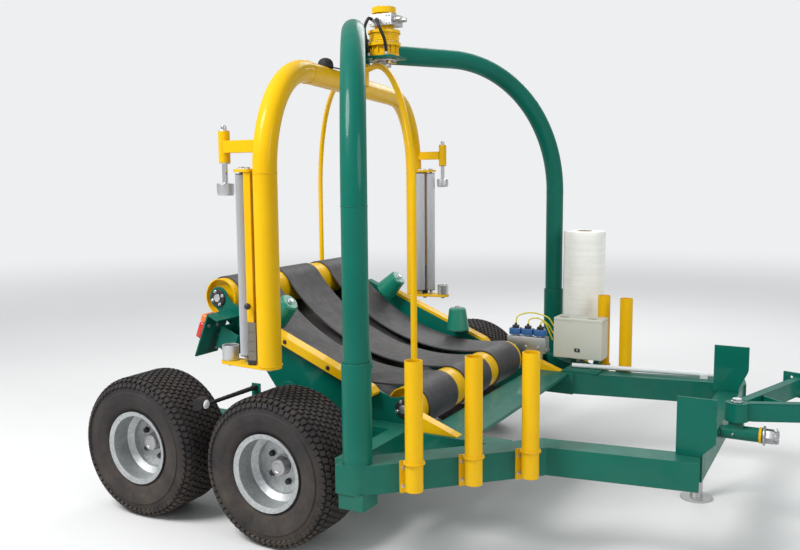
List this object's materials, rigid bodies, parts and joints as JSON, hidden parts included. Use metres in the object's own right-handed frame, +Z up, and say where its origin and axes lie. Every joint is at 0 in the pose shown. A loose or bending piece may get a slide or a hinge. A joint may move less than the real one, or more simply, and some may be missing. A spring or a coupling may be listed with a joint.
{
  "type": "bale wrapper",
  "caption": "Towed round-bale wrapper: V-shaped frame on tandem wheels, tilting belt table with guide cones, and a twin-satellite wrapping arm hung from a tubular arch.",
  "frame": {"origin": "under the middle of the whole machine's box, on the ground", "axes": "+X forward to the hitch, +Y to the machine's left, +Z up"},
  "size_m": [3.4259, 2.44, 2.422],
  "materials": {
    "green_paint": "gloss enamel over steel, worn at the edges",
    "yellow_paint": "gloss enamel over steel, scuffed where film and bales rub",
    "bare_steel": "plated or turned steel",
    "rod_chrome": "ground and chromed",
    "galvanised": "dull zinc coat",
    "roller_alloy": "extruded with fine ribs along its length",
    "tyre_rubber": "matt black, a little dusty",
    "hose_rubber": "matt black braided hose with plated ferrules",
    "cable_yellow": "yellow sheath",
    "belt_rubber": "woven face, worn grey",
    "cone_plastic": "smooth moulded",
    "box_plastic": "moulded beige case",
    "case_metal": "painted casting",
    "cylinder_paint": "black gloss",
    "pipe_white": "pale sleeve over a steel pipe",
    "lamp_black": "moulded",
    "lamp_red": "clear red and amber lenses",
    "film_white": "tightly wound stretch film"
  },
  "bodies": {
    "frame": {"side_frame_left": "green_paint", "side_frame_right": "green_paint", "cross_members": "green_paint", "bogie_beams": "green_paint", "arch_tubes": "green_paint", "leg_sockets": "green_paint", "arm_gearbox": "yellow_paint", "drive_valve": "bare_steel", "drive_hoses": "hose_rubber", "valve_hoses": "hose_rubber", "box_cables": "cable_yellow", "film_posts": "yellow_paint", "guide_plates": "green_paint", "wedge_guides": "yellow_paint", "control_box": "box_plastic", "valve_block": "bare_steel", "oil_pipe": "pipe_white", "marker_lamps": "lamp_black", "jack_tube": "bare_steel", "swivel_pin": "bare_steel", "spare_film_roll": "film_white"},
    "table": {"table_plates": "green_paint", "table_tubes": "green_paint", "wear_bars": "yellow_paint", "table_rollers": "yellow_paint", "table_belts": "belt_rubber", "lamp_brackets": "green_paint", "tail_lamps": "lamp_red"},
    "barrel": {"tilt_barrel": "cylinder_paint"},
    "rod": {"tilt_rod": "rod_chrome"},
    "arm": {"wrap_arm": "yellow_paint", "safety_bows": "yellow_paint", "stretcher_frames": "yellow_paint", "gear_cases": "case_metal", "lower_cups": "bare_steel", "upper_cups": "bare_steel"},
    "jack": {"jack_leg": "bare_steel"},
    "swivel": {"swivel_sleeve": "green_paint"},
    "hitch": {"hitch_frame": "green_paint"},
    "stretch_near_a": {"stretch_roller_near_a": "roller_alloy"},
    "stretch_near_b": {"stretch_roller_near_b": "roller_alloy"},
    "stretch_far_a": {"stretch_roller_far_a": "roller_alloy"},
    "stretch_far_b": {"stretch_roller_far_b": "roller_alloy"},
    "cone_front_left": {"cone_front_left": "cone_plastic"},
    "wheel_front_left": {"tyre_front_left": "tyre_rubber", "rim_front_left": "galvanised"},
    "cone_front_right": {"cone_front_right": "cone_plastic"},
    "wheel_front_right": {"tyre_front_right": "tyre_rubber", "rim_front_right": "galvanised"},
    "cone_rear_left": {"cone_rear_left": "cone_plastic"},
    "wheel_rear_left": {"tyre_rear_left": "tyre_rubber", "rim_rear_left": "galvanised"},
    "cone_rear_right": {"cone_rear_right": "cone_plastic"},
    "wheel_rear_right": {"tyre_rear_right": "tyre_rubber", "rim_rear_right": "galvanised"}
  },
  "joints": [
    {"name": "table_tilt", "type": "hinge", "parent": "frame", "child": "table", "pos_m": [-0.84304, 0, 0.558], "axis": [0, -1, 0], "range_deg": [0, 47.5]},
    {"name": "cylinder_swing", "type": "hinge", "parent": "frame", "child": "barrel", "pos_m": [-0.89304, 0.205, 0.27], "axis": [0, -1, 0], "range_deg": [0, 31.7]},
    {"name": "cylinder_stroke", "type": "slide", "parent": "barrel", "child": "rod", "axis": [0.9437, 0, 0.3307], "range_m": [0, 0.1685]},
    {"name": "arm_turn", "type": "hinge", "parent": "frame", "child": "arm", "pos_m": [-0.84304, 0, 1], "axis": [0, 0, 1], "continuous": true},
    {"name": "stretch_near_a_turn", "type": "hinge", "parent": "arm", "child": "stretch_near_a", "pos_m": [-0.73115, -1.08632, 1.2], "axis": [0, 0, 1], "continuous": true},
    {"name": "stretch_near_b_turn", "type": "hinge", "parent": "arm", "child": "stretch_near_b", "pos_m": [-0.67597, -1.04859, 1.2], "axis": [0, 0, 1], "continuous": true},
    {"name": "stretch_far_a_turn", "type": "hinge", "parent": "arm", "child": "stretch_far_a", "pos_m": [-0.95492, 1.08632, 1.2], "axis": [0, 0, 1], "continuous": true},
    {"name": "stretch_far_b_turn", "type": "hinge", "parent": "arm", "child": "stretch_far_b", "pos_m": [-1.0101, 1.04859, 1.2], "axis": [0, 0, 1], "continuous": true},
    {"name": "cone_front_left_turn", "type": "hinge", "parent": "table", "child": "cone_front_left", "pos_m": [-0.50869, 0.545, 0.68578], "axis": [-0.0262, 0, 0.9997], "continuous": true},
    {"name": "cone_front_right_turn", "type": "hinge", "parent": "table", "child": "cone_front_right", "pos_m": [-0.50869, -0.545, 0.68578], "axis": [-0.0262, 0, 0.9997], "continuous": true},
    {"name": "cone_rear_left_turn", "type": "hinge", "parent": "table", "child": "cone_rear_left", "pos_m": [-0.9891, 0.545, 0.88477], "axis": [0.7254, 0, 0.6884], "continuous": true},
    {"name": "cone_rear_right_turn", "type": "hinge", "parent": "table", "child": "cone_rear_right", "pos_m": [-0.9891, -0.545, 0.88477], "axis": [0.7254, 0, 0.6884], "continuous": true},
    {"name": "wheel_front_left_turn", "type": "hinge", "parent": "frame", "child": "wheel_front_left", "pos_m": [-0.63304, 0.975, 0.33], "axis": [0, 1, 0], "continuous": true},
    {"name": "wheel_front_right_turn", "type": "hinge", "parent": "frame", "child": "wheel_front_right", "pos_m": [-0.63304, -0.975, 0.33], "axis": [0, 1, 0], "continuous": true},
    {"name": "wheel_rear_left_turn", "type": "hinge", "parent": "frame", "child": "wheel_rear_left", "pos_m": [-1.38304, 0.975, 0.33], "axis": [0, 1, 0], "continuous": true},
    {"name": "wheel_rear_right_turn", "type": "hinge", "parent": "frame", "child": "wheel_rear_right", "pos_m": [-1.38304, -0.975, 0.33], "axis": [0, 1, 0], "continuous": true},
    {"name": "jack_travel", "type": "slide", "parent": "frame", "child": "jack", "axis": [0, 0, 1], "range_m": [0, 0.3]},
    {"name": "hitch_roll", "type": "hinge", "parent": "frame", "child": "swivel", "pos_m": [1.08196, 0, 0.45], "axis": [1, 0, 0], "range_deg": [-8, 8]},
    {"name": "hitch_yaw", "type": "hinge", "parent": "swivel", "child": "hitch", "pos_m": [1.08196, 0, 0.545], "axis": [0, 0, 1], "range_deg": [-107, 13]}
  ],
  "couplings": [
    {"joint": "cylinder_swing", "follows": "table_tilt", "ratio": 0.6655},
    {"joint": "cylinder_stroke", "follows": "table_tilt", "m_per_rad": 0.2029},
    {"joint": "stretch_near_b_turn", "follows": "stretch_near_a_turn", "ratio": -1.55},
    {"joint": "stretch_far_b_turn", "follows": "stretch_far_a_turn", "ratio": -1.55}
  ]
}
